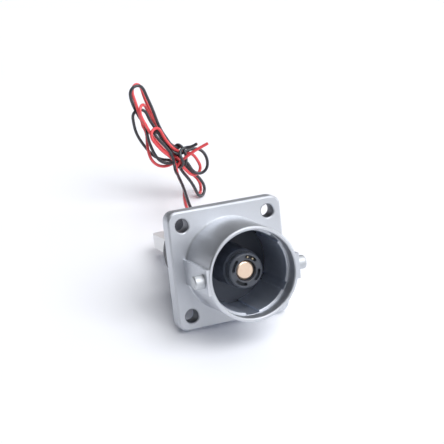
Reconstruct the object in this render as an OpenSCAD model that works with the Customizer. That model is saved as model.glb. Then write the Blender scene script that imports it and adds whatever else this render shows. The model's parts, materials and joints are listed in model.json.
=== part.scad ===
// Single-pole high-current panel receptacle: square flange, round keyed
// shroud with two coupling pins, touch-guarded centre contact, flat busbar
// terminal behind, and a two-wire interlock lead tied into a hank.
// Millimetres. The origin is the centre of the flange's rear (panel) face.
// The mating side faces -Y, the busbar points to +Y, +Z is up.

/* [Flange] */
// Side of the square flange
flange_w = 50; // [49:0.5:60]
// Thickness of the flange
flange_t = 6.2; // [5:0.1:8]
// Corner radius of the flange
flange_r = 4; // [3:0.5:5]
// Chamfer round the front edge of the flange
flange_edge = 0.7; // [0.3:0.1:1]
// Centre distance of the four fixing holes
hole_pitch = 38; // [37.5:0.1:39]
// Diameter of the four fixing holes
hole_d = 5.5; // [4.5:0.1:5.5]

/* [Shroud] */
// Length of the shroud in front of the flange
shroud_len = 25.6; // [24.6:0.1:28]
// Outside diameter of the shroud
shroud_d = 38.8; // [38.6:0.1:40]
// Bore of the shroud's mouth
mouth_d = 35.6; // [35.4:0.1:36]
// Depth of the mouth in front of the keyed ledge
mouth_depth = 6; // [5:0.5:7]
// Bore of the keyed ledge behind the mouth
ledge_d = 33.6; // [33:0.1:34]
// Distance from the axis to the flat of each side pad
pad_x = 20; // [19.8:0.1:20.6]
// Width of each side pad
pad_w = 10.4; // [9:0.2:12]

/* [Coupling pins] */
// Diameter of each coupling pin
pin_d = 5.6; // [4:0.1:6]
// Distance from the axis to the end of each coupling pin
pin_reach = 24.2; // [23:0.1:26]
// Distance from the rim back to the axis of the coupling pins
pin_set = 5; // [4:0.1:6]

/* [Centre contact] */
// Diameter of the contact pin
contact_d = 8.1; // [7.9:0.1:8.2]
// Distance from the rim back to the end of the contact pin
contact_set = 9.2; // [9:0.1:9.6]
// Outside diameter of the touch guard
guard_d = 14.6; // [14.2:0.1:15.2]
// Distance from the rim back to the front of the touch guard
guard_set = 8.2; // [8:0.1:8.4]
// Outside diameter of the insulator's tower
tower_d = 16.4; // [16:0.1:17.4]

/* [Rear] */
// Outside diameter of the rear insulator
rear_d = 32.4; // [31.6:0.1:34]
// Distance from the flange's rear face to the back of the rear insulator
rear_len = 31.8; // [30:0.1:34]
// Width of the busbar terminal
blade_w = 20; // [18:0.5:20]
// Thickness of the busbar terminal
blade_t = 6.6; // [5:0.1:6.6]
// Distance from the flange's rear face to the end of the busbar terminal
blade_end = 65; // [60:0.5:72]
// Diameter of the busbar terminal's bolt hole
blade_hole_d = 8.5; // [6.5:0.1:10.5]

/* [Interlock lead] */
// Outside diameter of each lead wire
wire_d = 1.5; // [1.2:0.1:1.5]
// Thickness of the tied hank
hank_t = 13.5; // [10:0.5:14]

/* [Hidden] */
$fn = 96;
e = 0.01;
rim = -(flange_t + shroud_len);      // y of the shroud's rim
ledge_y = rim + mouth_depth;         // y of the ledge's front face
ro = shroud_d / 2;
rm = mouth_d / 2;
rl = ledge_d / 2;
web_y = -2;                          // seat of the front insulator
spigot_r = 17.4;                     // pilot boss behind the flange
spigot_bore = 15.9;
spigot_y = 14;
rc = contact_d / 2;
bore_r = 4.15;                       // insulator bore round the contact pin
guard_y = rim + guard_set;
tip_y = rim + contact_set;
neck_r = 6.4;                        // neck of the tower inside the touch guard
step_y = guard_y + 4.8;              // front shoulder of the tower
// keyways in the ledge, [angle, width]
KEYS = [[-90, 5.8], [-30, 3.6], [42.5, 4.4], [97, 4.2]];
// interlock contacts, [x, z] on the tower's face
black_xz = [3.6, 4.2];
red_xz = [1.5, 5.3];
exit_x = 2;                          // middle of the two wire holes
exit_z = 12.2;
wire_gap = 2.4;                      // distance between the two wire holes
screw_at = [[10.74, 6.2], [-10.74, 6.2], [-10.74, -6.2], [10.74, -6.2]];

// The lead lies as it does when the loose part leans back on a bench: the
// bench passes through the flange's lower rear edge and slopes by lean.
lean = 15.3;
hank_turn = -22.6;
// a bench point [x, distance from that edge, height] in the row frame
function bench(p) = [p.x, p.y * cos(lean) - p.z * sin(lean),
  -flange_w / 2 + p.y * sin(lean) + p.z * cos(lean)];
// a point [across, along, height] of the turned hank on the bench
function hank_pt(p) = bench([p.x * cos(hank_turn) - p.y * sin(hank_turn),
  p.x * sin(hank_turn) + p.y * cos(hank_turn), p.z]);

route_black = [[3.6, 3.5, 4.2], [3.6, 4.6, 4.2], [3.5, 7.4, 7], [3.3, 10, 10],
  [3.2, 13, 12], [3.2, 16, 12.2], [3.2, 24, 12.2], [3.2, 33, 12.2],
  bench([3.7, 47, 25.7]), bench([5.4, 59, 25.2]), bench([12, 85, 23.1]),
  bench([15.6, 101.5, 22]), hank_pt([-26.4, 112, 20.2]), hank_pt([-26.4, 115.2, 20.4])];
route_red = [[1.5, 3.5, 5.3], [1.5, 4.6, 5.3], [1.2, 7.4, 7.6], [0.9, 10, 10.2],
  [0.8, 13, 12], [0.8, 16, 12.2], [0.8, 24, 12.2], [0.8, 33, 12.2],
  bench([1.9, 47, 25.7]), bench([3.8, 59.5, 25]), bench([8.2, 74, 22.6]), bench([13.2, 88, 21.3]),
  bench([16.9, 104.6, 20]), hank_pt([-25.7, 113, 18.4]), hank_pt([-25.6, 115.2, 18.4])];

// ---- sweep of a round cord along a smooth curve through its route
function unit(v) = v / norm(v);
function spline(a, b, c, d, t) = 0.5 * (2 * b + (c - a) * t
  + (2 * a - 5 * b + 4 * c - d) * t * t + (3 * b - a - 3 * c + d) * t * t * t);
function smooth(r) = [for (i = [0 : len(r) - 2])
  let (n = max(1, ceil(norm(r[i + 1] - r[i]) / 4.2)))
  for (k = [0 : n - 1]) spline(r[max(0, i - 1)], r[i], r[i + 1],
    r[min(len(r) - 1, i + 2)], k / n), r[len(r) - 1]];
function along(p, i) = unit(p[min(len(p) - 1, i + 1)] - p[max(0, i - 1)]);
module cord(route, d, sides = 8) {
  p = smooth(route);
  n = len(p);
  pts = [for (i = [0 : n - 1]) let (t = along(p, i), u = unit(cross([1, 0, 0], t)),
    v = cross(t, u)) for (k = [0 : sides - 1])
    p[i] + d / 2 * (u * cos(360 * k / sides) + v * sin(360 * k / sides))];
  walls = [for (i = [0 : n - 2], k = [0 : sides - 1]) let (m = (k + 1) % sides)
    each [[i * sides + k, (i + 1) * sides + k, (i + 1) * sides + m],
      [i * sides + k, (i + 1) * sides + m, i * sides + m]]];
  ends = [[for (k = [0 : sides - 1]) k],
    [for (k = [sides - 1 : -1 : 0]) (n - 1) * sides + k]];
  polyhedron(points = pts, faces = concat(walls, ends), convexity = 6);
}

// ---- shapes about the receptacle's axis, which is Y
module ycyl(r, y0, y1) translate([0, y0, 0]) rotate([-90, 0, 0]) cylinder(r = r, h = y1 - y0);
module ycone(r0, r1, y0, y1) translate([0, y0, 0]) rotate([-90, 0, 0]) cylinder(r1 = r0, r2 = r1, h = y1 - y0);
module yring(ri, rr, y0, y1) difference() {
  ycyl(rr, y0, y1);
  ycyl(ri, y0 - 1, y1 + 1);
}
// a turned body from [radius, y] points
module turned(pts) rotate([-90, 0, 0]) rotate_extrude() polygon(pts);
module o_ring(major, minor, y) translate([0, y, 0]) rotate([-90, 0, 0])
  rotate_extrude() translate([major, 0]) circle(r = minor, $fn = 32);
module at(xz) translate([xz.x, 0, xz.y]) children();

// square plate with round corners and a chamfered front edge
module plate(w, t, r, c) {
  h = w / 2;
  s = [[-h, 0], [h, 0], [h, c - t], [h - c, -t], [c - h, -t], [-h, c - t]];
  linear_extrude(height = 2 * (h - r), center = true) polygon(s);
  rotate([0, 90, 0]) linear_extrude(height = 2 * (h - r), center = true) polygon(s);
  for (x = [-1, 1], z = [-1, 1]) at([x * (h - r), z * (h - r)]) {
    ycyl(r, c - t, 0);
    ycone(r - c, r, -t, c - t);
  }
}
module keyway(angle, w) rotate([0, -angle, 0]) intersection() {
  translate([rl - 3, ledge_y - 1, -w / 2]) cube([6, web_y - ledge_y + 0.6, w]);
  ycyl(rm - 0.2, ledge_y - 1, web_y);
}

// ---- pieces
module shell() color("#c3c7cd") difference() {
  union() {
    plate(flange_w, flange_t, flange_r, flange_edge);
    turned([[rm + 0.4, rim], [rm, rim + 0.4], [rm, ledge_y], [rl + 0.3, ledge_y],
      [rl, ledge_y + 0.3], [rl, web_y], [spigot_bore, web_y], [spigot_bore, 11], [spigot_bore + 0.7, 11], [spigot_bore + 0.7, 12.1],
      [spigot_bore, 12.1], [spigot_bore, spigot_y], [spigot_r - 0.4, spigot_y],
      [spigot_r, spigot_y - 0.4], [spigot_r, 0], [ro + 0.6, 0], [ro + 0.6, -flange_t],
      [ro, -flange_t - 0.6], [ro, rim + 0.5], [ro - 0.5, rim]]);
    difference() {
      for (s = [-1, 1]) translate([s * (pad_x - 2) - 2, rim + 0.2, -pad_w / 2])
        cube([4, shroud_len - 0.1, pad_w]);
      ycyl(rm + 0.2, rim - 1, 1);
    }
  }
  // clear bore through the plate, inside the turned walls
  turned([[0, rim - 1], [rm, rim - 1], [rm, ledge_y], [rl + 0.3, ledge_y],
    [rl, ledge_y + 0.3], [rl, web_y], [spigot_bore, web_y], [spigot_bore, 1], [0, 1]]);
  for (x = [-1, 1], z = [-1, 1]) at([x * hole_pitch / 2, z * hole_pitch / 2]) {
    ycyl(hole_d / 2, -flange_t - 1, 1);
    ycone(hole_d / 2 + 0.75, hole_d / 2, -flange_t - 0.2, -flange_t + 0.55);
  }
  for (s = [-1, 1]) translate([s * 18.2, rim + pin_set, 0]) rotate([0, s * 90, 0])
    cylinder(d = pin_d - 0.6, h = 6);
  yring(19.4, 21.6, -1.4, 1);
  for (k = KEYS) keyway(k[0], k[1]);
}

module coupling_pin(s) color("#e6e6e4") translate([s * 18.2, rim + pin_set, 0]) rotate([0, s * 90, 0])
  rotate_extrude() polygon(concat([[0, 0], [pin_d / 2 - 0.3, 0],
    [pin_d / 2 - 0.3, pad_x + 0.1 - 18.2], [pin_d / 2, pad_x + 0.1 - 18.2]],
    [for (a = [0 : 22.5 : 90]) [pin_d / 2 - 0.7 + 0.7 * cos(a), pin_reach - 18.9 + 0.7 * sin(a)]],
    [[0, pin_reach - 18.2]]));
module coupling_pin_left() coupling_pin(-1);
module coupling_pin_right() coupling_pin(1);

module flange_seal() color("#2c2d30") o_ring(20.5, 0.9, -0.5);

module front_insulator() color("#23262b") difference() {
  union() {
    // keys that stop the insulator turning in the shell's keyways
    for (k = KEYS) rotate([0, -k[0], 0]) intersection() {
      translate([rl - 2, -3.4, 0.1 - k[1] / 2]) cube([6, 0.9, k[1] - 0.2]);
      ycyl(rm - 0.3, -4, 0);
    }
    turned([[bore_r, guard_y + 1.6], [neck_r, guard_y + 1.6], [neck_r, guard_y + 3.4],
    [7.6, guard_y + 3.4], [7.6, step_y - 0.6], [tower_d / 2, step_y], [tower_d / 2, -3.9],
    [tower_d / 2 + 0.4, -3.5], [rl - 0.1, -3.5], [rl - 0.1, web_y], [spigot_bore - 0.1, web_y],
    [spigot_bore - 0.1, 3], [14.2, 3], [14.2, 5.4], [spigot_bore - 0.1, 5.4],
    [spigot_bore - 0.1, 11], [7.15, 11], [7.15, 8], [bore_r, 8]]);
  }
  for (xz = [black_xz, red_xz]) at(xz) {
    ycyl(0.55, guard_y, -1.5);
    ycyl(0.95, -1.5, 4);
  }
  // pocket for the two wires
  translate([-0.2, 3.5, 3.2]) cube([5.6, 8, 9.8]);
  for (xz = screw_at) at(xz) ycyl(1.25, 5.5, 12);
}

module insulator_seal() color("#3a3b3f") o_ring(15.05, 0.85, 4.2);

module retaining_ring() color("#9a9da1") difference() {
  yring(14.3, 16.5, 11, 12);
  translate([-3, 10, -18]) cube([6, 3, 6]);
}

module touch_guard() color("#2b2f35") difference() {
  turned([[4.5, guard_y], [guard_d / 2 - 0.6, guard_y], [guard_d / 2, guard_y + 0.6],
    [guard_d / 2, guard_y + 3.4], [neck_r, guard_y + 3.4], [neck_r, guard_y + 1.6],
    [4.3, guard_y + 1.6], [4.3, guard_y + 0.2]]);
  for (a = [62, 152, 242, 332]) rotate([0, -a, 0]) {
    rotate([-90, 0, 0]) translate([0, 0, guard_y - 1]) rotate([0, 0, -20])
      rotate_extrude(angle = 40) translate([4.95, 0]) square([1.3, 3]);
    for (b = [-20, 20]) rotate([0, b, 0]) translate([5.6, 0, 0]) ycyl(0.65, guard_y - 1, guard_y + 2);
  }
}

module contact_pin() color("#d9a47c") turned([[0, tip_y], [rc - 0.9, tip_y],
  [rc - 0.25, tip_y + 0.35], [rc, tip_y + 0.9], [rc, -1.7], [3.15, -1.7], [3.15, 0.5],
  [rc, 0.5], [rc, 8], [7.1, 8], [7.1, 11], [5, 11], [5, 24], [4.4, 24.4], [0, 24.4]]);

module contact_seal() color("#3a3b3f") o_ring(3.65, 0.5, -0.6);

module spring_washer() color("#b4b6b8") yring(5.2, 9, 11, 12);

module busbar_terminal() color("#e4e4e2") difference() {
  union() {
    ycyl(10, 12, 26);
    translate([-blade_w / 2, 20, 0.2 - blade_t / 2]) cube([blade_w, 14, blade_t - 0.4]);
    intersection() {
      translate([-blade_w / 2, 33, -blade_t / 2]) cube([blade_w, blade_end - 33, blade_t]);
      union() {
        translate([-15, 30, -10]) cube([30, blade_end - 33, 20]);
        for (s = [-1, 1]) translate([s * (blade_w / 2 - 3), blade_end - 3, -10]) cylinder(r = 3, h = 20);
        translate([-blade_w / 2 + 3, 30, -10]) cube([blade_w - 6, blade_end - 30, 20]);
      }
    }
  }
  ycyl(5, 11, 24.4);
  translate([0, blade_end - 11, -10]) cylinder(d = blade_hole_d, h = 20);
}

module rear_insulator() color("#24272c") difference() {
  union() {
    ycyl(14.2, 11, spigot_y + 1);
    ycyl(rear_d / 2, spigot_y, rear_len - 0.8);
    ycone(rear_d / 2, rear_d / 2 - 0.8, rear_len - 0.8, rear_len);
  }
  ycyl(10.1, 10, 26);
  translate([-blade_w / 2 - 0.1, 19.5, -blade_t / 2 - 0.1]) cube([blade_w + 0.2, 14, blade_t + 0.2]);
  translate([exit_x - 2.6, 10, 8]) cube([5.2, 14.5, 5.4]);
  at([exit_x, exit_z]) ycyl(3, 24, 33);
  for (xz = screw_at) at(xz) {
    ycyl(1.4, 10, 33);
    ycyl(2.4, rear_len - 2.6, 33);
  }
}

module housing_screws() color("#8f9296") for (xz = screw_at) at(xz) difference() {
  union() {
    ycyl(1.25, 6, rear_len - 2);
    ycyl(2.25, rear_len - 2.6, rear_len - 1.1);
    ycone(2.25, 1.8, rear_len - 1.1, rear_len - 0.6);
  }
  for (a = [0, 90]) rotate([0, a, 0]) translate([-1.5, rear_len - 1.8, -0.3]) cube([3, 2, 0.6]);
}

module interlock_contact(xz) color("#c9a44c") at(xz) {
  ycyl(0.55, guard_y + 1.1, -1.5);
  ycone(0.3, 0.55, guard_y + 0.8, guard_y + 1.1);
  ycyl(0.95, -1.5, 3.5);
}
module interlock_contact_red() interlock_contact(red_xz);
module interlock_contact_black() interlock_contact(black_xz);

module wire_grommet() color("#1d1e20") difference() {
  union() {
    at([exit_x, exit_z]) ycyl(3, 26.3, rear_len);
    at([exit_x, exit_z]) ycyl(3.5, rear_len, rear_len + 0.6);
    at([exit_x, exit_z]) ycone(3.5, 3.1, rear_len + 0.6, rear_len + 1);
  }
  for (s = [-1, 1]) at([exit_x + s * wire_gap / 2, exit_z]) ycyl(0.82, 26, 34);
}

module interlock_wire_red() color("#d8222c") cord(route_red, wire_d);
module interlock_wire_black() color("#26282c") cord(route_black, wire_d);

// closed outline of the tied hank: the long upper loops, the small loops
// beside the knot and the low loop that stands on the bench
module wire_hank() color("#b02830") translate([0, 0, -flange_w / 2])
  rotate([lean, 0, 0]) rotate([0, 0, hank_turn]) translate([0, 115 + hank_t, 0]) rotate([90, 0, 0])
    linear_extrude(height = hank_t) {
      hull() {
        translate([-26, 25]) circle(r = 6.5, $fn = 32);
        translate([-40.4, 37]) circle(r = 7.5, $fn = 32);
        translate([-43.6, 57.5]) circle(r = 5, $fn = 32);
      }
      hull() {
        translate([-25, 24]) circle(r = 5, $fn = 32);
        translate([-14.6, 18]) circle(r = 5, $fn = 32);
        translate([-14.6, 26.5]) circle(r = 5, $fn = 32);
      }
      hull() {
        translate([-24, 20]) circle(r = 3, $fn = 32);
        translate([-14.2, 3]) circle(r = 3, $fn = 32);
        translate([-13.8, 12]) circle(r = 2.6, $fn = 32);
      }
    }

shell();
coupling_pin_left();
coupling_pin_right();
flange_seal();
front_insulator();
insulator_seal();
retaining_ring();
touch_guard();
contact_pin();
contact_seal();
spring_washer();
busbar_terminal();
rear_insulator();
housing_screws();
interlock_contact_red();
interlock_contact_black();
wire_grommet();
interlock_wire_red();
interlock_wire_black();
wire_hank();
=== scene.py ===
import json
import math
import bpy
import bmesh
import numpy as np
from mathutils import Vector, Matrix


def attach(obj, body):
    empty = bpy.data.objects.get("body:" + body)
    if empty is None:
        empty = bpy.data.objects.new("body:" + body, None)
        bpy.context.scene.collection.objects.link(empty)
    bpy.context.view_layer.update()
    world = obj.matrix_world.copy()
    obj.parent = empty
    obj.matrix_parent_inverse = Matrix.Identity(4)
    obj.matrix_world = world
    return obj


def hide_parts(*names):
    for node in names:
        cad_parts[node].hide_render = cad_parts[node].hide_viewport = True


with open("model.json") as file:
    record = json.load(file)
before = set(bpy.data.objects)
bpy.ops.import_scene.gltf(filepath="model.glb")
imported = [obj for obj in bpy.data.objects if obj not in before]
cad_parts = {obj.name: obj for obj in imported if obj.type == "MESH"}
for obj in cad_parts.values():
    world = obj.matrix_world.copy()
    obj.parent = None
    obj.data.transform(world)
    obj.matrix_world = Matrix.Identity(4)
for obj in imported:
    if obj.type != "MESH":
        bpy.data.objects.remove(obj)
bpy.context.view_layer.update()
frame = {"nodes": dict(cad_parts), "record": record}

scene = bpy.context.scene
scene.view_settings.view_transform = "Standard"
scene.view_settings.look = "None"
scene.view_settings.exposure = 0.0
scene.view_settings.gamma = 1.0
nodes = frame["nodes"]
MM = 0.001

# ------------------------------------------------------------------ camera
cam_data = bpy.data.cameras.new("camera")
cam_data.sensor_width = 36.0
cam_data.lens = 1300.0 / 444.0 * 36.0
cam_data.clip_start, cam_data.clip_end = 0.02, 20.0
cam = bpy.data.objects.new("camera", cam_data)
scene.collection.objects.link(cam)
right, up = Vector((0.92263, -0.37112, -0.10502)), Vector((0.16956, 0.14573, 0.97468))
back = Vector((-0.34642, -0.91708, 0.19739))
eye = Vector((-0.18650, -0.49574, 0.12314))
cam.matrix_world = Matrix([[right.x, up.x, back.x, eye.x], [right.y, up.y, back.y, eye.y],
                           [right.z, up.z, back.z, eye.z], [0, 0, 0, 1]])
scene.camera = cam

# ------------------------------------------------------------ bench frame
# The loose part leans back on a bench: on the flange's lower rear edge and the
# rear insulator's back edge. Bench points are [x, distance from that flange
# edge, height], hank points are [across, height, along] of the turned hank.
LEAN, TURN, HALF = math.radians(15.3), math.radians(-22.6), 25.0


def bench(x, s, h):
    return [x, s * math.cos(LEAN) - h * math.sin(LEAN), -HALF + s * math.sin(LEAN) + h * math.cos(LEAN)]


def hank(p, h, w):
    return bench(p * math.cos(TURN) - w * math.sin(TURN), p * math.sin(TURN) + w * math.cos(TURN), h)


def unhank(q):
    """The row frame's points, in mm, as (across, height, along) of the hank."""
    x, y, z = q[:, 0], q[:, 1], q[:, 2] + HALF
    s = y * math.cos(LEAN) + z * math.sin(LEAN)
    h = -y * math.sin(LEAN) + z * math.cos(LEAN)
    return np.stack([x * math.cos(TURN) + s * math.sin(TURN), h, -x * math.sin(TURN) + s * math.cos(TURN)], 1)


def rehank(q):
    return np.array([hank(*p) for p in q])


# ------------------------------------------------------------------- cords
WIRE_D = 1.5
BEND = 3.6
HEADS = {
    "black": [[3.2, 18, 12.2], [3.2, 24, 12.2], [3.2, 33, 12.2], bench(3.7, 47, 25.7), bench(5.4, 59, 25.2),
              bench(12, 85, 23.1), bench(15.6, 101.5, 22)],
    "red": [[0.8, 18, 12.2], [0.8, 24, 12.2], [0.8, 33, 12.2], bench(1.9, 47, 25.7), bench(3.8, 59.5, 25),
            bench(8.2, 74, 22.6), bench(13.2, 88, 21.3), bench(16.9, 104.6, 20)],
}


def wrap(turns, radius, start, shift):
    """Points of the wire wound round the hank's waist, ending at its upper front."""
    out, tilt = [], math.radians(35)
    c = np.array([-25.4, 23.6, 120.0])
    e1, e2 = np.array([0, 1.0, 0]), np.array([math.sin(tilt), 0, -math.cos(tilt)])
    axis = np.array([math.cos(tilt), 0, math.sin(tilt)])
    n = max(3, int(round(turns * 8)))
    for i in range(n + 1):
        a = math.radians(start) - i / n * turns * 2 * math.pi
        out.append(list(c + radius * (math.cos(a) * e1 + math.sin(a) * e2) + axis * (shift - 1.6 * i / n * turns)))
    return out


BLACK = (
    [(-26.5, 19.9, 112.0), (-27.0, 21.8, 114.8)]
    # short loop
    + [(-28.8, 27.4, 116.4), (-31.2, 30.5, 115.8), (-33.8, 34.0, 115.8), (-35.8, 36.6, 116.4), (-36.9, 37.4, 119.0),
       (-35.9, 36.6, 121.8), (-33.6, 33.7, 122.0), (-31.1, 30.6, 121.8), (-28.7, 27.4, 121.4)]
    + [(-25.6, 25.8, 118.8)]
    # small loop to the right of the waist
    + [(-20.6, 25.8, 122.6), (-17.1, 26.6, 123.2), (-13.8, 26.0, 122.6), (-11.7, 23.8, 121.4), (-10.6, 20.2, 120.4),
       (-11.2, 17.0, 119.6), (-13.3, 15.2, 118.8), (-15.9, 15.1, 118.4), (-18.4, 17.0, 118.0), (-20.4, 19.5, 118.0)]
    + [(-25.1, 23.0, 120.0)]
    # middle loop
    + [(-28.9, 26.3, 120.6), (-31.8, 31.1, 120.2), (-34.7, 36.0, 119.8), (-37.0, 40.1, 119.6), (-38.7, 43.0, 119.4),
       (-40.4, 45.8, 119.6), (-41.9, 47.6, 120.2), (-43.2, 48.7, 120.9), (-44.8, 48.6, 120.6), (-45.9, 47.3, 119.8),
       (-46.6, 44.5, 119.8), (-46.7, 41.2, 120.2), (-46.1, 37.2, 121.0), (-44.7, 33.2, 121.8), (-42.5, 29.1, 122.6),
       (-40.1, 25.6, 123.0), (-37.7, 22.9, 123.0), (-34.9, 21.4, 122.6), (-31.9, 20.8, 122.2), (-28.9, 20.9, 121.8)]
    + [(-25.4, 20.4, 121.2)]
    # low loop, which stands on the bench
    + [(-23.7, 16.0, 120.4), (-21.0, 12.4, 120.6), (-18.5, 8.5, 121.0), (-16.3, 4.6, 121.4), (-14.7, 1.1, 122.4),
       (-13.0, 0.3, 124.2), (-12.3, 1.9, 125.6), (-13.3, 6.4, 126.2), (-14.6, 9.2, 125.6), (-16.6, 11.9, 124.4),
       (-19.5, 15.0, 122.8)]
    + [(-26.1, 22.0, 118.6)]
    # long loop
    + [(-28.7, 20.9, 117.6), (-31.2, 21.2, 117.2), (-33.6, 22.2, 117.0), (-36.0, 24.9, 117.0), (-37.8, 28.6, 117.2),
       (-39.3, 32.7, 117.4), (-40.1, 36.1, 117.8), (-40.5, 39.1, 117.6), (-42.2, 40.9, 121.0), (-44.1, 43.9, 122.4),
       (-45.8, 48.0, 121.0), (-47.0, 52.1, 118.8), (-47.6, 55.4, 118.4), (-47.4, 58.7, 118.6), (-46.3, 60.6, 119.2),
       (-44.6, 61.3, 119.8), (-43.1, 60.6, 120.4), (-41.8, 58.7, 120.8), (-40.1, 55.1, 121.0), (-38.5, 51.2, 121.2),
       (-37.0, 47.1, 121.4), (-35.7, 42.9, 121.6), (-34.4, 39.0, 122.0), (-32.5, 34.9, 122.4), (-30.2, 31.2, 122.2),
       (-27.7, 27.9, 121.8)]
    + wrap(1.9, 5.2, -12, 2.8)
    # free end
    + [(-21.3, 27.9, 116.4), (-18.9, 29.6, 116.6), (-16.0, 31.4, 117.0)]
)
RED = (
    [(-25.7, 18.4, 113.4), (-26.0, 18.9, 116.0)]
    # short loop
    + [(-27.8, 24.2, 116.0), (-30.3, 26.3, 115.2), (-32.9, 28.9, 114.9), (-35.4, 32.2, 114.9), (-37.4, 35.8, 115.0),
       (-38.0, 38.7, 115.6), (-36.5, 40.0, 117.2), (-34.7, 38.2, 119.0), (-32.5, 34.5, 119.6), (-30.1, 31.2, 119.6),
       (-27.5, 28.0, 119.6)]
    + [(-24.8, 25.7, 119.8)]
    # small loop to the right of the waist
    + [(-20.6, 25.4, 121.8), (-17.7, 23.9, 121.8), (-15.9, 20.9, 121.6), (-14.8, 17.5, 121.0), (-14.6, 14.9, 120.4),
       (-15.8, 13.4, 119.8), (-18.4, 14.8, 119.6), (-20.9, 16.9, 119.6)]
    + [(-25.7, 23.3, 118.4)]
    # middle loop
    + [(-29.3, 26.1, 122.4), (-32.2, 30.5, 123.0), (-34.6, 35.4, 123.4), (-36.5, 39.4, 123.4), (-38.0, 42.9, 123.0),
       (-39.6, 46.0, 122.4), (-40.9, 49.0, 121.4), (-42.3, 51.5, 119.4), (-43.3, 50.8, 117.4), (-42.8, 47.2, 117.0),
       (-41.7, 43.9, 116.8), (-40.1, 40.6, 116.8), (-38.0, 35.9, 117.6), (-35.2, 31.8, 118.2), (-32.6, 28.4, 118.4),
       (-29.8, 25.4, 118.4)]
    + [(-25.4, 21.1, 121.4)]
    # low loop, which stands on the bench
    + [(-23.4, 14.8, 122.4), (-20.7, 11.2, 122.8), (-18.5, 7.5, 123.2), (-16.7, 4.1, 123.8), (-15.2, 0.7, 125.4),
       (-14.1, 0.3, 127.4), (-14.4, 2.6, 128.4), (-15.2, 6.3, 128.4), (-16.9, 9.5, 127.0), (-19.6, 13.1, 124.8)]
    + [(-25.1, 20.7, 120.6)]
    # long loop
    + [(-27.1, 20.4, 118.6), (-30.3, 19.2, 118.2), (-33.7, 19.0, 118.2), (-36.7, 20.4, 118.4), (-38.9, 23.3, 118.8),
       (-40.0, 27.2, 119.4), (-40.5, 30.6, 120.6), (-40.5, 34.1, 121.4), (-41.2, 38.0, 121.2), (-42.5, 42.7, 119.0),
       (-43.9, 47.0, 118.4), (-44.9, 50.5, 119.2), (-45.8, 53.6, 120.4), (-46.4, 57.0, 121.0), (-46.5, 59.9, 121.4),
       (-45.9, 61.6, 121.8), (-44.8, 60.7, 122.6), (-43.7, 58.9, 123.2), (-42.4, 55.9, 123.6), (-41.0, 52.2, 123.8),
       (-39.6, 48.6, 124.0), (-38.2, 45.0, 124.2), (-36.6, 41.5, 124.4), (-34.9, 37.8, 124.4), (-32.4, 33.2, 124.0),
       (-29.2, 28.8, 123.0)]
    # round the waist and out to the free end
    + [(-25.6, 25.4, 125.4), (-24.7, 21.7, 126.6), (-25.2, 18.2, 125.2), (-26.3, 17.2, 121.0), (-26.2, 18.8, 117.8),
       (-24.5, 21.5, 117.0), (-22.6, 23.7, 116.8), (-20.5, 25.4, 116.4), (-18.2, 27.5, 115.4), (-15.6, 29.1, 116.2),
       (-13.0, 30.6, 116.2), (-10.4, 32.2, 116.0)]
)


def curve_through(pts, step):
    """A smooth line through points (centripetal Catmull-Rom), with points about step apart."""
    pts = np.array(pts, float)
    pts = np.vstack([2 * pts[0] - pts[1], pts, 2 * pts[-1] - pts[-2]])
    out = []
    for a, b, c, d in zip(pts[:-3], pts[1:-2], pts[2:-1], pts[3:]):
        t0 = 0.0
        t1 = t0 + max(np.linalg.norm(b - a), 1e-6) ** 0.5
        t2 = t1 + max(np.linalg.norm(c - b), 1e-6) ** 0.5
        t3 = t2 + max(np.linalg.norm(d - c), 1e-6) ** 0.5
        n = max(2, int(np.linalg.norm(c - b) / (step / 4)))
        for t in np.linspace(t1, t2, n, endpoint=False):
            a1 = (t1 - t) / (t1 - t0) * a + (t - t0) / (t1 - t0) * b
            a2 = (t2 - t) / (t2 - t1) * b + (t - t1) / (t2 - t1) * c
            a3 = (t3 - t) / (t3 - t2) * c + (t - t2) / (t3 - t2) * d
            b1 = (t2 - t) / (t2 - t0) * a1 + (t - t0) / (t2 - t0) * a2
            b2 = (t3 - t) / (t3 - t1) * a2 + (t - t1) / (t3 - t1) * a3
            out.append((t2 - t) / (t2 - t1) * b1 + (t - t1) / (t2 - t1) * b2)
    out.append(pts[-2])
    out = np.array(out)
    along = np.concatenate([[0], np.cumsum(np.linalg.norm(np.diff(out, axis=0), axis=1))])
    at = np.linspace(0, along[-1], int(round(along[-1] / step)) + 1)
    return np.stack([np.interp(at, along, out[:, k]) for k in range(3)], 1)


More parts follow.
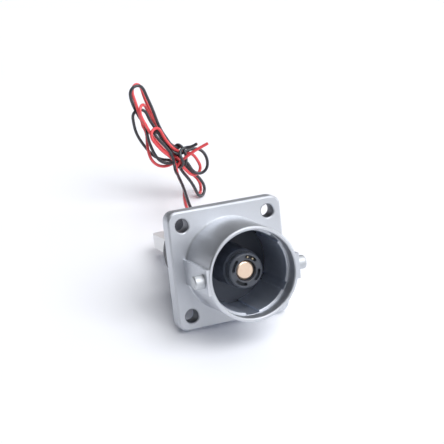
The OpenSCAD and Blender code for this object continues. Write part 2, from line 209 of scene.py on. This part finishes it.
def settle(lines, rounds=320):
    """Lets the wires push each other apart to a diameter, stay springy and rest on the bench, near their own routes."""
    sizes = [len(l) for l in lines]
    pos = np.vstack(lines)
    aim = pos.copy()
    wire = np.repeat(np.arange(len(lines)), sizes)
    idx = np.concatenate([np.arange(n) for n in sizes])
    fixed = np.clip((idx - 40) / 40.0, 0.0, 1.0)          # the lead near its exit stays straight
    gap = WIRE_D * 1.05
    pairs = None
    for it in range(rounds):
        if it % 8 == 0:
            d2 = ((pos[:, None, :] - pos[None, :, :]) ** 2).sum(2)
            i, j = np.nonzero(np.triu(d2 < (gap + 1.2) ** 2, 1))
            keep = (wire[i] != wire[j]) | (np.abs(idx[i] - idx[j]) > 6)
            pairs = (i[keep], j[keep])
        # springiness: a fourth difference keeps bends even without shrinking loops
        a = 0
        for n in sizes:
            p = pos[a:a + n]
            f = np.zeros_like(p)
            f[2:-2] = p[:-4] - 4 * p[1:-3] + 6 * p[2:-2] - 4 * p[3:-1] + p[4:]
            f[1:-1] -= 0.25 * (p[:-2] - 2 * p[1:-1] + p[2:])
            p -= 0.075 * f
            # a bend no tighter than BEND: points 2 k apart keep the chord of that circle
            for k in (2, 3, 4):
                chord = 2 * BEND * math.sin(k / BEND)
                d = p[2 * k:] - p[:-2 * k]
                r = np.linalg.norm(d, axis=1)
                push = np.maximum(chord - r, 0.0)
                v = (d + np.array([0.0, 0.0, 1e-3])) / (r + 1e-3)[:, None] * (push * 0.19)[:, None]
                p[2 * k:] += v
                p[:-2 * k] -= v
            for k in (0, 1):
                s = p[k:n - (n - k) % 2].reshape(-1, 2, 3)
                d = s[:, 1] - s[:, 0]
                r = np.linalg.norm(d, axis=1)
                v = d / r[:, None] * ((1.0 - r) * 0.4)[:, None]
                s[:, 1] += v
                s[:, 0] -= v
                p[k:n - (n - k) % 2] = s.reshape(-1, 3)
            a += n
        k = np.array([0.035, 0.035, 0.006]) * (1.0 if it < rounds * 0.6 else 0.35)
        pos += k * (aim - pos)
        i, j = pairs
        for _ in range(2):
            d = pos[i] - pos[j]
            r = np.maximum(np.linalg.norm(d, axis=1), 1e-4)
            push = np.maximum(gap - r, 0.0)
            hit = push > 0
            v = (d / r[:, None] * (push * 0.5)[:, None])[hit]
            move, count = np.zeros_like(pos), np.zeros(len(pos))
            np.add.at(move, i[hit], v)
            np.add.at(move, j[hit], -v)
            np.add.at(count, i[hit], 1.0)
            np.add.at(count, j[hit], 1.0)
            pos += move / np.maximum(count, 1.0)[:, None] ** 0.6
        pos[:, 1] = np.maximum(pos[:, 1], WIRE_D / 2 + 0.02)
        pos = aim + (pos - aim) * fixed[:, None]
    out, a = [], 0
    for n in sizes:
        out.append(pos[a:a + n])
        a += n
    return out


def wires():
    lines = []
    for name, tail in (("black", BLACK), ("red", RED)):
        head = unhank(np.array(HEADS[name], float))
        lines.append(curve_through(np.vstack([head, np.array(tail, float)]), 1.0))
    lines = settle(lines)
    return [rehank(curve_through(l, 0.6)) * MM for l in lines]


def wire_piece(name, line):
    cu = bpy.data.curves.new(name, "CURVE")
    cu.dimensions = "3D"
    cu.bevel_depth = WIRE_D / 2 * MM
    cu.bevel_resolution = 4
    cu.use_fill_caps = True
    sp = cu.splines.new("POLY")
    sp.points.add(len(line) - 1)
    for k, p in enumerate(line):
        sp.points[k].co = (*p, 1.0)
    sp.use_smooth = True
    ob = bpy.data.objects.new(name, cu)
    scene.collection.objects.link(ob)
    return ob


line_black, line_red = wires()
wire_black = wire_piece("lead_wire_black", line_black)
wire_red = wire_piece("lead_wire_red", line_red)


def conductor_end(name, line):
    """The cut end of the stranded conductor, flush in the insulation: seven fine strands."""
    tip, d = Vector(line[-1]), (Vector(line[-1]) - Vector(line[-3])).normalized()
    turn = d.to_track_quat("Z", "Y").to_matrix().to_4x4()
    bm = bmesh.new()
    for k in range(7):
        a = k * math.pi / 3
        off = Vector((0, 0, 0)) if k == 6 else Vector((math.cos(a), math.sin(a), 0)) * 0.00031
        m = Matrix.Translation(tip - d * 0.0006) @ turn @ Matrix.Translation(off)
        made = bmesh.ops.create_cone(bm, cap_ends=True, segments=10, radius1=0.000155, radius2=0.000155,
                                     depth=0.0016, matrix=m)
    me = bpy.data.meshes.new(name)
    bm.to_mesh(me)
    bm.free()
    ob = bpy.data.objects.new(name, me)
    scene.collection.objects.link(ob)
    return ob


end_black = conductor_end("conductor_end_black", line_black)
end_red = conductor_end("conductor_end_red", line_red)

# --------------------------------------------------------------- materials


def new_material(name):
    m = bpy.data.materials.new(name)
    m.use_nodes = True
    nt = m.node_tree
    for n in list(nt.nodes):
        nt.nodes.remove(n)
    out = nt.nodes.new("ShaderNodeOutputMaterial")
    bsdf = nt.nodes.new("ShaderNodeBsdfPrincipled")
    nt.links.new(bsdf.outputs["BSDF"], out.inputs["Surface"])
    return m, nt, bsdf


def add(nt, kind, **values):
    n = nt.nodes.new(kind)
    for k, v in values.items():
        if k in n.inputs:
            n.inputs[k].default_value = v
        else:
            setattr(n, k, v)
    return n


def noise(nt, vec, scale, detail=4.0, rough=0.55, distortion=0.0):
    n = nt.nodes.new("ShaderNodeTexNoise")
    n.inputs["Scale"].default_value = scale
    n.inputs["Detail"].default_value = detail
    n.inputs["Roughness"].default_value = rough
    n.inputs["Distortion"].default_value = distortion
    nt.links.new(vec, n.inputs["Vector"])
    return n.outputs["Fac"]


def ramp(nt, fac, stops):
    r = nt.nodes.new("ShaderNodeValToRGB")
    e = r.color_ramp.elements
    while len(e) < len(stops):
        e.new(0.5)
    for k, (at, col) in enumerate(stops):
        e[k].position = at
        e[k].color = (*col, 1.0) if len(col) == 3 else col
    nt.links.new(fac, r.inputs["Fac"])
    return r.outputs["Color"]


def span(nt, fac, lo, hi, a=0.3, b=0.7):
    m = nt.nodes.new("ShaderNodeMapRange")
    m.inputs["From Min"].default_value = a
    m.inputs["From Max"].default_value = b
    m.inputs["To Min"].default_value = lo
    m.inputs["To Max"].default_value = hi
    nt.links.new(fac, m.inputs["Value"])
    return m.outputs["Result"]


def bump(nt, height, strength, distance, normal=None):
    b = nt.nodes.new("ShaderNodeBump")
    b.inputs["Strength"].default_value = strength
    b.inputs["Distance"].default_value = distance
    nt.links.new(height, b.inputs["Height"])
    if normal is not None:
        nt.links.new(normal, b.inputs["Normal"])
    return b.outputs["Normal"]


def coords(nt, stretch=(1, 1, 1)):
    tc = nt.nodes.new("ShaderNodeTexCoord")
    mp = nt.nodes.new("ShaderNodeMapping")
    mp.inputs["Scale"].default_value = stretch
    nt.links.new(tc.outputs["Object"], mp.inputs["Vector"])
    return mp.outputs["Vector"]


def cast_metal(name, dark, light, metallic, r_lo, r_hi, grain=5200.0, grain_height=0.000025):
    """A blasted casting. The walls of its four screw holes are painted dark as shade, and the cavity's walls are
    painted lighter and bluer, standing in for the blue-grey tone of the shaded cavity.
    """
    m, nt, b = new_material(name)
    v = coords(nt)
    broad, fine = noise(nt, v, 60.0, 3.0), noise(nt, v, grain, 3.0, 0.6)
    sep = nt.nodes.new("ShaderNodeSeparateXYZ")
    nt.links.new(v, sep.inputs["Vector"])

    def step(op, a, c):
        n = add(nt, "ShaderNodeMath", operation=op)
        nt.links.new(a, n.inputs[0])
        if isinstance(c, float):
            n.inputs[1].default_value = c
        else:
            nt.links.new(c, n.inputs[1])
        return n.outputs[0]
    total = None
    for axis in ("X", "Z"):
        last = sep.outputs[axis]
        for op, value in (("ABSOLUTE", None), ("SUBTRACT", 0.019), ("POWER", 2.0)):
            n = add(nt, "ShaderNodeMath", operation=op)
            nt.links.new(last, n.inputs[0])
            if value is not None:
                n.inputs[1].default_value = value
            last = n.outputs[0]
            if op == "SUBTRACT":
                n = add(nt, "ShaderNodeMath", operation="ABSOLUTE")
                nt.links.new(last, n.inputs[0])
                last = n.outputs[0]
        if total is None:
            total = last
        else:
            n = add(nt, "ShaderNodeMath", operation="ADD")
            nt.links.new(total, n.inputs[0])
            nt.links.new(last, n.inputs[1])
            total = n.outputs[0]
    # painted shade: a dark colour on the screw holes' walls, and a thin ring round each hole, standing in for the shade
    # inside the holes
    painted_hole_shade = add(nt, "ShaderNodeMath", operation="LESS_THAN")
    nt.links.new(total, painted_hole_shade.inputs[0])
    painted_hole_shade.inputs[1].default_value = 0.0029 ** 2
    tone = add(nt, "ShaderNodeMix", data_type="RGBA", blend_type="MIX")
    nt.links.new(painted_hole_shade.outputs[0], tone.inputs[0])
    nt.links.new(ramp(nt, broad, [(0.25, dark), (0.75, light)]), tone.inputs[6])
    nt.links.new(ramp(nt, fine, [(0.3, (0.16, 0.17, 0.19)), (0.7, (0.26, 0.27, 0.30))]), tone.inputs[7])
    # inside: less than 17.9 mm from the axis, and behind the ledge's front face; there the casting's colour is painted
    # lighter and bluer, standing in for the blue-grey tone of the shaded cavity
    inside = step("LESS_THAN", step("ADD", step("POWER", sep.outputs["X"], 2.0), step("POWER", sep.outputs["Z"], 2.0)),
                  0.0179 ** 2)
    inside = step("MULTIPLY", inside, step("GREATER_THAN", sep.outputs["Y"], -0.0256))
    inside = step("MULTIPLY", inside, step("LESS_THAN", sep.outputs["Y"], -0.0005))
    # painted light and shade: the cavity's walls get a lighter, bluer copy of the same casting's colour
    painted_cavity_tint = add(nt, "ShaderNodeMix", data_type="RGBA", blend_type="MIX")
    nt.links.new(inside, painted_cavity_tint.inputs[0])
    nt.links.new(tone.outputs[2], painted_cavity_tint.inputs[6])
    nt.links.new(ramp(nt, broad, [(0.25, (0.64, 0.69, 0.78)), (0.75, (0.71, 0.76, 0.85))]), painted_cavity_tint.inputs[7])
    nt.links.new(painted_cavity_tint.outputs[2], b.inputs["Base Color"])
    mix = nt.nodes.new("ShaderNodeMath")
    mix.operation = "ADD"
    nt.links.new(broad, mix.inputs[0])
    nt.links.new(noise(nt, v, 900.0, 4.0), mix.inputs[1])
    nt.links.new(span(nt, mix.outputs[0], r_lo, r_hi, 0.7, 1.3), b.inputs["Roughness"])
    b.inputs["Metallic"].default_value = metallic
    n1 = bump(nt, fine, 0.55, grain_height)
    nt.links.new(bump(nt, noise(nt, v, 420.0, 2.0), 0.35, 0.00004, n1), b.inputs["Normal"])
    return m


def smooth_metal(name, dark, light, r_lo, r_hi, stretch=(1, 1, 1), scale=900.0, height=0.000006, metallic=1.0):
    m, nt, b = new_material(name)
    v = coords(nt, stretch)
    f = noise(nt, v, scale, 5.0, 0.65)
    nt.links.new(ramp(nt, noise(nt, v, scale * 0.12, 3.0), [(0.3, dark), (0.7, light)]), b.inputs["Base Color"])
    nt.links.new(span(nt, f, r_lo, r_hi), b.inputs["Roughness"])
    b.inputs["Metallic"].default_value = metallic
    nt.links.new(bump(nt, f, 0.5, height), b.inputs["Normal"])
    return m


def turned_metal(name, dark, light, r_lo, r_hi, pitch=0.00012):
    """Rings from a lathe about the Y axis on faces, and round the barrel."""
    m, nt, b = new_material(name)
    v = coords(nt)
    sep = nt.nodes.new("ShaderNodeSeparateXYZ")
    nt.links.new(v, sep.inputs["Vector"])

    def mathn(op, a, c=None, val=None):
        n = nt.nodes.new("ShaderNodeMath")
        n.operation = op
        nt.links.new(a, n.inputs[0])
        if c is not None:
            nt.links.new(c, n.inputs[1])
        if val is not None:
            n.inputs[1].default_value = val
        return n.outputs[0]
    r = mathn("SQRT", mathn("ADD", mathn("MULTIPLY", sep.outputs["X"], sep.outputs["X"]),
                            mathn("MULTIPLY", sep.outputs["Z"], sep.outputs["Z"])))
    rings = mathn("SINE", mathn("MULTIPLY", mathn("ADD", r, sep.outputs["Y"]), val=2 * math.pi / pitch))
    spots = noise(nt, v, 700.0, 4.0)
    nt.links.new(ramp(nt, spots, [(0.3, dark), (0.7, light)]), b.inputs["Base Color"])
    nt.links.new(span(nt, spots, r_lo, r_hi), b.inputs["Roughness"])
    b.inputs["Metallic"].default_value = 1.0
    nt.links.new(bump(nt, rings, 0.25, 0.0000025), b.inputs["Normal"])
    return m


def plastic(name, dark, light, r_lo, r_hi, spec=0.5, grain=4200.0, height=0.00001):
    m, nt, b = new_material(name)
    v = coords(nt)
    nt.links.new(ramp(nt, noise(nt, v, 150.0, 3.0), [(0.3, dark), (0.7, light)]), b.inputs["Base Color"])
    f = noise(nt, v, grain, 3.0, 0.6)
    nt.links.new(span(nt, noise(nt, v, 800.0, 3.0), r_lo, r_hi), b.inputs["Roughness"])
    b.inputs["Specular IOR Level"].default_value = spec
    nt.links.new(bump(nt, f, 0.5, height), b.inputs["Normal"])
    return m


def insulation(name, dark, light, r_lo, r_hi, coat):
    """Extruded insulation: faint lengthwise waviness, small changes of tone, a satin skin."""
    m, nt, b = new_material(name)
    v = coords(nt)
    nt.links.new(ramp(nt, noise(nt, v, 130.0, 3.0), [(0.3, dark), (0.7, light)]), b.inputs["Base Color"])
    nt.links.new(span(nt, noise(nt, v, 1500.0, 3.0), r_lo, r_hi), b.inputs["Roughness"])
    b.inputs["Specular IOR Level"].default_value = 0.5
    b.inputs["Coat Weight"].default_value = coat
    b.inputs["Coat Roughness"].default_value = 0.25
    nt.links.new(bump(nt, noise(nt, v, 2600.0, 3.0), 0.35, 0.00001), b.inputs["Normal"])
    return m


M = {
    "shell_cast": cast_metal("shell_cast_metal", (0.61, 0.63, 0.665), (0.665, 0.685, 0.72), 1.0, 0.46, 0.56),
    "pin_steel": smooth_metal("pin_satin_steel", (0.54, 0.56, 0.58), (0.62, 0.64, 0.66), 0.50, 0.60,
                              (1, 6, 6), 1200.0),
    "black_plastic": plastic("black_moulding", (0.040, 0.046, 0.060), (0.050, 0.057, 0.073), 0.38, 0.52),
    "guard_plastic": plastic("guard_moulding", (0.054, 0.061, 0.076), (0.066, 0.074, 0.091), 0.26, 0.36, 0.6),
    "seal_rubber": plastic("seal_rubber_skin", (0.018, 0.018, 0.019), (0.030, 0.030, 0.032), 0.55, 0.75, 0.35),
    "contact_copper": turned_metal("contact_copper_alloy", (0.94, 0.72, 0.55), (0.97, 0.77, 0.60), 0.32, 0.38),
    "silver_plate": smooth_metal("silver_plating", (0.93, 0.93, 0.93), (0.97, 0.97, 0.97), 0.42, 0.52,
                                 (3, 1, 3), 500.0, 0.000003, 0.55),
    "gold_plate": smooth_metal("gold_plating", (0.72, 0.60, 0.40), (0.80, 0.68, 0.48), 0.20, 0.30),
    "plain_steel": smooth_metal("zinc_plated_steel", (0.52, 0.53, 0.54), (0.64, 0.65, 0.66), 0.25, 0.42),
    "wire_red": insulation("red_insulation", (0.82, 0.07, 0.08), (0.90, 0.11, 0.12), 0.30, 0.42, 0.25),
    "wire_black": insulation("black_insulation", (0.030, 0.033, 0.040), (0.040, 0.044, 0.052), 0.26, 0.38, 0.3),
}
copper = smooth_metal("bare_copper", (0.80, 0.42, 0.26), (0.90, 0.50, 0.32), 0.25, 0.40)

slot_of = {s["node"]: s["material_slot"] for s in frame["record"]["subparts"]}
for name, ob in nodes.items():
    mat = M[slot_of[name]]
    if not ob.material_slots:
        ob.data.materials.append(mat)
    for s in ob.material_slots:
        s.material = mat

for ob, key in ((wire_black, "wire_black"), (wire_red, "wire_red")):
    ob.data.materials.append(M[key])
for ob in (end_black, end_red):
    ob.data.materials.append(copper)

# ------------------------------------------------------- rounded CAD edges
EDGES = {"shell": 0.16, "front_insulator": 0.15,
         "touch_guard": 0.16, "contact_pin": 0.20, "busbar_terminal": 0.35, "rear_insulator": 0.25,
         "housing_screws": 0.10, "retaining_ring": 0.08, "wire_grommet": 0.12, "spring_washer": 0.08}
for name, width in EDGES.items():
    ob = nodes[name]
    weld = ob.modifiers.new("weld", "WELD")
    weld.merge_threshold = 0.000002
    bev = ob.modifiers.new("round_edges", "BEVEL")
    bev.width = width * MM
    bev.segments = 3
    bev.limit_method = "ANGLE"
    bev.angle_limit = math.radians(35)
    bev.use_clamp_overlap = True
    bev.harden_normals = True

# ------------------------------------------------------------ declarations
for ob, cad, key in ((wire_black, ("interlock_wire_black",), "wire_black"),
                     (wire_red, ("interlock_wire_red", "wire_hank"), "wire_red")):
    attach(ob, "root")
    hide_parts(*cad)
for ob, key in ((end_black, "wire_black"), (end_red, "wire_red")):
    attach(ob, "root")

# ------------------------------------------------------------------- stage
bench_n = Vector((0, -math.sin(LEAN), math.cos(LEAN)))
bench_s = Vector((0, math.cos(LEAN), math.sin(LEAN)))
foot = Vector((0, 0, -HALF * MM)) - bench_n * 0.0001
fm, fnt, fb = new_material("bench_white")
fnt.links.new(ramp(fnt, noise(fnt, coords(fnt), 8.0, 2.0), [(0.3, (0.935, 0.940, 0.955)), (0.7, (0.955, 0.960, 0.975))]),
              fb.inputs["Base Color"])
fb.inputs["Roughness"].default_value = 0.6
fb.inputs["Specular IOR Level"].default_value = 0.2
fb.inputs["Emission Color"].default_value = (0.62, 0.70, 1.0, 1.0)
fb.inputs["Emission Strength"].default_value = 0.05
bm = bmesh.new()
W0, S0, S1 = 1.6, -1.6, 2.4
corners = [foot + Vector((x, 0, 0)) + bench_s * s for x, s in
           ((-W0, S0), (W0, S0), (W0, S1), (-W0, S1))]
bm.faces.new([bm.verts.new(c) for c in corners])
me = bpy.data.meshes.new("bench")
bm.to_mesh(me)
bm.free()
bench_ob = bpy.data.objects.new("bench", me)
scene.collection.objects.link(bench_ob)
me.materials.append(fm)

world = bpy.data.worlds.new("studio")
scene.world = world
world.use_nodes = True
wn = world.node_tree
bg = wn.nodes.get("Background") or wn.nodes.new("ShaderNodeBackground")
bg.inputs["Color"].default_value = (0.96, 0.98, 1.0, 1.0)
# seen directly the surroundings are pale, but they light the part only faintly
seen = add(wn, "ShaderNodeMath", operation="MULTIPLY_ADD")
seen.inputs[1].default_value = 0.90
seen.inputs[2].default_value = 0.02
wn.links.new(add(wn, "ShaderNodeLightPath").outputs["Is Camera Ray"], seen.inputs[0])
wn.links.new(seen.outputs[0], bg.inputs["Strength"])


def row(x, s, h):
    return Vector(bench(x, s, h)) * MM


def soft_sun(name, azimuth, height, strength, colour=(0.99, 1.0, 1.03)):
    """A broad studio light far off: azimuth 0 is in front of the part, 90 to its right."""
    a, e = math.radians(azimuth), math.radians(height)
    to = row(math.sin(a) * math.cos(e), -math.cos(a) * math.cos(e), math.sin(e)) - row(0, 0, 0)
    ld = bpy.data.lights.new(name, "SUN")
    ld.energy, ld.angle, ld.color = strength, math.radians(34), colour
    ob = bpy.data.objects.new(name, ld)
    scene.collection.objects.link(ob)
    ob.location = to * 800
    ob.rotation_mode = "QUATERNION"
    ob.rotation_quaternion = (-to).to_track_quat("-Z", "Y")
    return ob


for k, (azimuth, height, strength) in enumerate((
        (0, 56, 1.08), (45, 56, 1.20), (90, 6, 0.74), (135, 56, 0.46), (22, 30, 0.42), (180, 56, 0.28),
        (0, 89, 0.31), (45, 30, 0.26), (22, 6, 0.16), (90, 30, 0.18), (135, 6, 0.09))):
    soft_sun("soft_light_%02d" % k, azimuth, height, strength)
